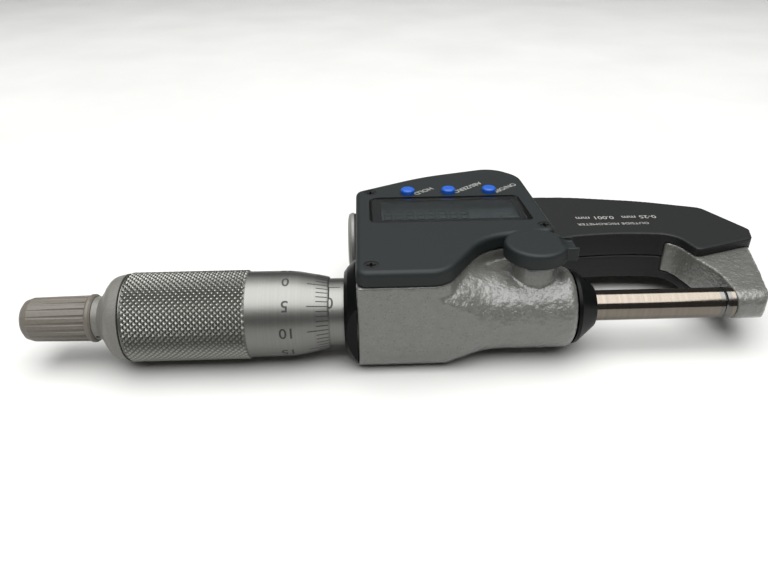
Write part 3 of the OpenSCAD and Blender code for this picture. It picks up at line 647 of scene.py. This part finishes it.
# %% Segments
DIGITS, DIGIT_PITCH = 8, 2.4
DIGIT_WIDE, DIGIT_TALL, STROKE = 1.6, 4.0, 0.32
CORNER_GAP = 1.4 * STROKE
FIRST_DIGIT = (1.4, 0.5)
BARS = ((0, -1), (0, 0), (0, 1), (-1, -0.5), (-1, 0.5), (1, -0.5), (1, 0.5))
glass_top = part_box("lcd_panel")[1].z / MM
segments = bmesh.new()
for digit in range(DIGITS):
    middle = Vector((VIEW_X[0] + FIRST_DIGIT[0] + digit * DIGIT_PITCH,
                     VIEW_Y[0] + FIRST_DIGIT[1] + DIGIT_TALL / 2, glass_top + FILM))
    for column, row in BARS:
        size = (STROKE, DIGIT_TALL / 2 - CORNER_GAP)
        if column == 0:
            size = (DIGIT_WIDE - CORNER_GAP, STROKE)
        at = middle + Vector((column * DIGIT_WIDE / 2, row * DIGIT_TALL / 2, 0))
        bmesh.ops.create_cube(segments, size=MM, matrix=Matrix.Translation(at * MM)
                              @ Matrix.Diagonal((size[0], size[1], FILM, 1)))
finished(segments, "display_segments", "frame_body", ink_segment)

# %% [markdown]
# ## Buttons
# Each push button is a small blue moulding with a rounded top edge.

# %% Buttons
for node in ("left_button", "middle_button", "right_button"):
    cap = finished(softened(node, 0.08, 4), "moulded_" + node, node + "_body", button_plastic, 60)
    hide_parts(node)

# %% [markdown]
# ## Clamp knob
# The lever that locks the spindle is a thick disc with a dished tab, moulded like the cover. Its
# corners are soft all round, so the relaxed copy serves here, with a finer grain for its small size.

# %% Clamp knob
lever = finished(softened("clamp_knob", 0.15, 4), "moulded_clamp_knob", "clamp", cover_plastic, 60)
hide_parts("clamp_knob")

# %% [markdown]
# ## Thimble
# The thimble is turned from one bar: a plain front with a long taper down to its edge, and a grip.
# Its outline is drawn as half a section and spun about the spindle's axis. The grip's band is left a
# little low for the knurling that goes on it.

# %% Turning
def turned(profile, steps=128):
    """A closed half section spun about X. Its points are X and radius, in millimetres."""
    bm = bmesh.new()
    ring = [bm.verts.new((x * MM, 0, r * MM)) for x, r in profile]
    edges = [bm.edges.new(pair) for pair in zip(ring, ring[1:] + ring[:1])]
    bmesh.ops.spin(bm, geom=ring + edges, cent=(0, 0, 0), axis=(1, 0, 0), dvec=(0, 0, 0), angle=math.tau,
                   steps=steps, use_merge=True, use_duplicate=False)
    return bm


# %% Thimble
GRIP_RIGHT = -97.6
GRIP, PLAIN = 8.86, 8.8
BORE, NUT_ROOM, SCREW_HOLE = 7.08, 7.75, 2.92
END_WALL = 3.3
thimble_low, thimble_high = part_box("thimble")
THIMBLE_LEFT, THIMBLE_FRONT = thimble_low.x / MM, thimble_high.x / MM
thimble_skin = [(THIMBLE_LEFT + 0.05, 8.55), (THIMBLE_LEFT + 0.35, GRIP), (GRIP_RIGHT, GRIP),
                (GRIP_RIGHT + 0.1, PLAIN + 0.02), (-92, PLAIN), (-90.4, 8.79), (-89.2, 8.74),
                (-88, 8.63), (-87, 8.47), (-86, 8.27), (-85, 8.07), (-84, 7.9), (-83, 7.68),
                (-82, 7.46), (THIMBLE_FRONT - 0.1, 7.36), (THIMBLE_FRONT, 7.28)]
inside = [(THIMBLE_FRONT, BORE), (-88, BORE), (-88.6, NUT_ROOM), (THIMBLE_LEFT + END_WALL, NUT_ROOM),
          (THIMBLE_LEFT + END_WALL, SCREW_HOLE), (THIMBLE_LEFT + 0.05, SCREW_HOLE)]
barrel = finished(turned(thimble_skin + inside), "turned_thimble", "spindle_body", satin_chrome, 30)

# %% [markdown]
# ## Knurling
# A diamond knurl is rolled in by two wheels with slanting teeth, which leave rows of small pyramids.
# A grid is wrapped round the grip. Each square gets a middle point, and the squares' own edges are
# dissolved, which leaves diamonds. Each diamond is then inset and raised to a blunt pyramid. The open
# ends are drawn inwards and joined through the grip, so that the shell is closed.

# %% Knurl
ROUND = 48
PITCH_ROUND = math.tau * KNURL_VALLEY / ROUND
DIAMOND_INSET = 0.31
INNER_SHARE = 0.985
knurl_left, knurl_right = THIMBLE_LEFT + 0.45, GRIP_RIGHT - 0.15
ALONG = round((knurl_right - knurl_left) / PITCH_ROUND)
knurl = bmesh.new()
bmesh.ops.create_grid(knurl, x_segments=ALONG, y_segments=ROUND, size=0.5)
for v in knurl.verts:
    angle = (v.co.y + 0.5) * math.tau
    x = knurl_left + (v.co.x + 0.5) * (knurl_right - knurl_left)
    v.co = Vector((x, -KNURL_VALLEY * math.cos(angle), KNURL_VALLEY * math.sin(angle))) * MM
bmesh.ops.remove_doubles(knurl, verts=knurl.verts, dist=1e-6)
bmesh.ops.recalc_face_normals(knurl, faces=knurl.faces)
grooves = [e for e in knurl.edges if len(e.link_faces) == 2]
bmesh.ops.poke(knurl, faces=knurl.faces[:], offset=0.0, use_relative_offset=False,
               center_mode="MEAN")
bmesh.ops.dissolve_edges(knurl, edges=grooves, use_verts=False, use_face_split=False)
diamonds = [f for f in knurl.faces if len(f.verts) == 4]
bmesh.ops.inset_individual(knurl, faces=diamonds, thickness=DIAMOND_INSET * MM,
                           depth=(KNURL_PEAK - KNURL_VALLEY) * MM, use_even_offset=True)
rims = [e for e in knurl.edges if e.is_boundary]
inward = bmesh.ops.extrude_edge_only(knurl, edges=rims)["geom"]
for v in (g for g in inward if isinstance(g, bmesh.types.BMVert)):
    v.co.y, v.co.z = v.co.y * INNER_SHARE, v.co.z * INNER_SHARE
bmesh.ops.bridge_loops(knurl, edges=[e for e in knurl.edges if e.is_boundary])
grip = finished(knurl, "knurled_grip", "spindle_body", knurled_chrome, 20)
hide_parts("thimble")
print(ROUND, "rows round,", ALONG, "along, pitch", round(PITCH_ROUND, 2), "mm")

# %% [markdown]
# ## Scales
# Lines and figures are engraved and filled with black ink, nearly flush with the metal. Each is
# modelled as a thin inlay: a flat shape drawn with its length along X and its width round the part,
# sliced so that it can bend, and then wrapped onto the turned surface at its own angle. Angles run
# from the side that faces the viewer up to the top.

# %% Wrapping
def skin_radius(profile, x):
    """Radius of a turned surface at x, between the two profile points around it, in millimetres."""
    for (x0, r0), (x1, r1) in zip(profile, profile[1:]):
        if x0 <= x <= x1:
            return r0 + (r1 - r0) * (x - x0) / (x1 - x0)
    return profile[-1][1]


def wrap(bm, x, angle, profile):
    """Bends flat shapes onto the surface. Their X runs towards the knob, their Y down the near side."""
    base = skin_radius(profile, x)
    for v in bm.verts:
        place_x = x - v.co.x / MM
        r = skin_radius(profile, place_x) * MM + v.co.z
        turn = math.radians(angle) - v.co.y / (base * MM)
        v.co = Vector((place_x * MM, -r * math.cos(turn), r * math.sin(turn)))


# %% [markdown]
# ### Lines and lettering
# A line is a flat bar. A figure or word is Blender's text, made a mesh and scaled to its height. Both
# are cut across by a few planes, since a flat shape can only bend where it has points.

# %% Lines and lettering
INLAY = 0.012
BAR_PARTS = 5
FIGURE_PARTS = 9
TEXT_DEPTH, TEXT_BOLD = 0.02, 0.012


def slice_at(bm, point, normal):
    """Adds the edges where a plane crosses a shape."""
    bmesh.ops.bisect_plane(bm, geom=bm.verts[:] + bm.edges[:] + bm.faces[:], dist=1e-8,
                           plane_co=point, plane_no=normal)


def bar(length, width):
    """A thin flat bar for one graduation, from its origin along X, with slices to bend at."""
    bm = bmesh.new()
    bmesh.ops.create_cube(bm, size=1.0)
    bmesh.ops.transform(bm, verts=bm.verts, matrix=Matrix.Translation((length / 2 * MM, 0, 0))
                        @ Matrix.Diagonal((length * MM, width * MM, 2 * INLAY * MM, 1)))
    for i in range(1, BAR_PARTS):
        slice_at(bm, Vector((length * i / BAR_PARTS * MM, 0, 0)), (1, 0, 0))
    return bm


def figures(words, height, spacing=1.0):
    """Flat lettering of a height in millimetres, as a thin closed shape with its middle at the
    origin."""
    curve = bpy.data.curves.new("figures", "FONT")
    curve.body, curve.align_x, curve.align_y = words, "CENTER", "CENTER"
    curve.size, curve.space_character, curve.resolution_u = 1.0, spacing, 4
    curve.extrude, curve.offset = TEXT_DEPTH, TEXT_BOLD
    work = bpy.data.objects.new("figures", curve)
    bpy.context.scene.collection.objects.link(work)
    bpy.context.view_layer.update()
    view = bpy.context.evaluated_depsgraph_get()
    bm = bmesh.new()
    bm.from_mesh(bpy.data.meshes.new_from_object(work.evaluated_get(view)))
    bpy.data.objects.remove(work)
    bmesh.ops.remove_doubles(bm, verts=bm.verts, dist=1e-5)
    low, high = (Vector(map(way, zip(*[v.co for v in bm.verts]))) for way in (min, max))
    scale = height * MM / (high.y - low.y)
    bmesh.ops.translate(bm, verts=bm.verts, vec=-(low + high) / 2)
    thin = INLAY * MM / TEXT_DEPTH
    bmesh.ops.transform(bm, verts=bm.verts, matrix=Matrix.Diagonal((scale, scale, thin, 1)))
    return bm


def join(target, part):
    """Adds one bmesh to another by way of a mesh."""
    mesh = bpy.data.meshes.new("part")
    part.to_mesh(mesh)
    part.free()
    target.from_mesh(mesh)


def wrapped_figures(target, words, height, x, angle, profile):
    """Adds lettering that is bent onto a turned surface at x and an angle."""
    glyphs = figures(words, height)
    for i in range(-(FIGURE_PARTS // 2), FIGURE_PARTS // 2 + 1):
        slice_at(glyphs, Vector((0, height * i / FIGURE_PARTS * MM, 0)), (0, 1, 0))
    wrap(glyphs, x, angle, profile)
    join(target, glyphs)


# %% [markdown]
# ### Scale on the thimble
# Fifty lines go round the taper, one for each hundredth of a millimetre in a turn of half a
# millimetre. Every fifth is longer and has its figure. The line for 0 meets the sleeve's datum line,
# which lies on the near side of the top, where it can be read.

# %% Scale on the thimble
DATUM = 76.7
DIVISIONS = 50
LINE = 0.2
FIGURE_TALL = 2.3
LONG_LINE, SHORT_LINE = 4.1, 2.35
FIGURES_AT = -90.0
FROM_EDGE = 0.15
graduations = bmesh.new()
numerals = bmesh.new()
for division in range(DIVISIONS):
    angle = DATUM - division * 360 / DIVISIONS
    line = bar(LONG_LINE if division % 5 == 0 else SHORT_LINE, LINE)
    wrap(line, THIMBLE_FRONT - FROM_EDGE, angle, thimble_skin)
    join(graduations, line)
    if division % 5 == 0:
        wrapped_figures(numerals, str(division), FIGURE_TALL, FIGURES_AT, angle, thimble_skin)
finished(graduations, "thimble_graduations", "spindle_body", ink_black)
finished(numerals, "thimble_numerals", "spindle_body", ink_black)

# %% [markdown]
# ### Scale on the sleeve
# The datum line runs along the sleeve. Whole millimetres are marked on its near side and half ones
# beyond it, up to the range of 25 mm, with a longer mark and a figure at every fifth. The figures
# stand lower on the near side. Most of the scale is under the closed thimble and shows as it opens.

# %% Scale on the sleeve
RANGE = 25
DATUM_LONG, DATUM_FROM = 28.5, -79.2
LONG_TICK, SHORT_TICK = 2.7, 1.7
TICK_PARTS = 4
FIGURES_TURN = 47
sleeve_low, sleeve_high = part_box("graduated_sleeve")
SLEEVE = sleeve_high.z / MM
SLEEVE_ZERO = THIMBLE_FRONT + FROM_EDGE
sleeve_skin = [(sleeve_low.x / MM, SLEEVE), (sleeve_high.x / MM, SLEEVE)]
scale = bmesh.new()
datum_line = bar(DATUM_LONG, LINE)
wrap(datum_line, DATUM_FROM, DATUM, sleeve_skin)
join(scale, datum_line)
for half in range(2 * RANGE + 1):
    reach = LONG_TICK if half % 10 == 0 else SHORT_TICK
    side = 1 if half % 2 == 0 else -1
    tick = bar(LINE, reach)
    bmesh.ops.translate(tick, verts=tick.verts, vec=(0, side * reach / 2 * MM, 0))
    for i in range(1 - TICK_PARTS, TICK_PARTS):
        slice_at(tick, Vector((0, i * reach / TICK_PARTS * MM, 0)), (0, 1, 0))
    wrap(tick, SLEEVE_ZERO - half / 2, DATUM, sleeve_skin)
    join(scale, tick)
for number in range(0, RANGE + 1, 5):
    wrapped_figures(scale, str(number), FIGURE_TALL, SLEEVE_ZERO - number, FIGURES_TURN, sleeve_skin)
finished(scale, "sleeve_scale", "frame_body", ink_black)

# %% [markdown]
# ## Printing on the bow and cover
# The range is printed on the front plate in pale grey, and each button has its word beside it. They
# read from the other side of the bench, so they are turned half round, and the words slant too. The
# ink film stands a hundredth of a millimetre proud.

# %% Print on the bow
def printed(words, height, x, y, z, slant=0, spacing=1.0):
    """Flat lettering on a level face, read from the far side, with its middle at x and y, in
    millimetres."""
    glyphs = figures(words, height, spacing)
    turn = Matrix.Rotation(math.radians(180 + slant), 4, "Z")
    laid = Matrix.Translation(Vector((x, y, z)) * MM) @ turn
    bmesh.ops.transform(glyphs, verts=glyphs.verts, matrix=laid)
    return glyphs


plate_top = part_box("front_bow_plate")[1].z / MM
bow_print = printed("0-25 mm   0.001 mm", 1.7, -12.3, 31.0, plate_top)
join(bow_print, printed("OUTSIDE MICROMETER", 1.15, -14.2, 27.4, plate_top, spacing=1.05))
finished(bow_print, "bow_print", "frame_body", ink_grey)

# %% [markdown]
# ### Words at the buttons
# Each word is placed from the middle of its button and runs away from it at a slant, so that a finger
# on one button doesn't cover the next one's word.

# %% Words at the buttons
SLANT = 39
WORD_TALL = 1.5
WORDS = (("left_button", "HOLD", 3.8, 0.9), ("middle_button", "ABS/ZERO", 5.0, 2.7),
         ("right_button", "ON/OFF", 4.2, 1.9))
cover_print = bmesh.new()
for button, word, beside, beyond in WORDS:
    low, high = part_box(button)
    centre = (low + high) / 2 / MM
    join(cover_print, printed(word, WORD_TALL, centre.x + beside, centre.y + beyond,
                              cover_high.z / MM, SLANT))
finished(cover_print, "button_words", "frame_body", ink_grey)
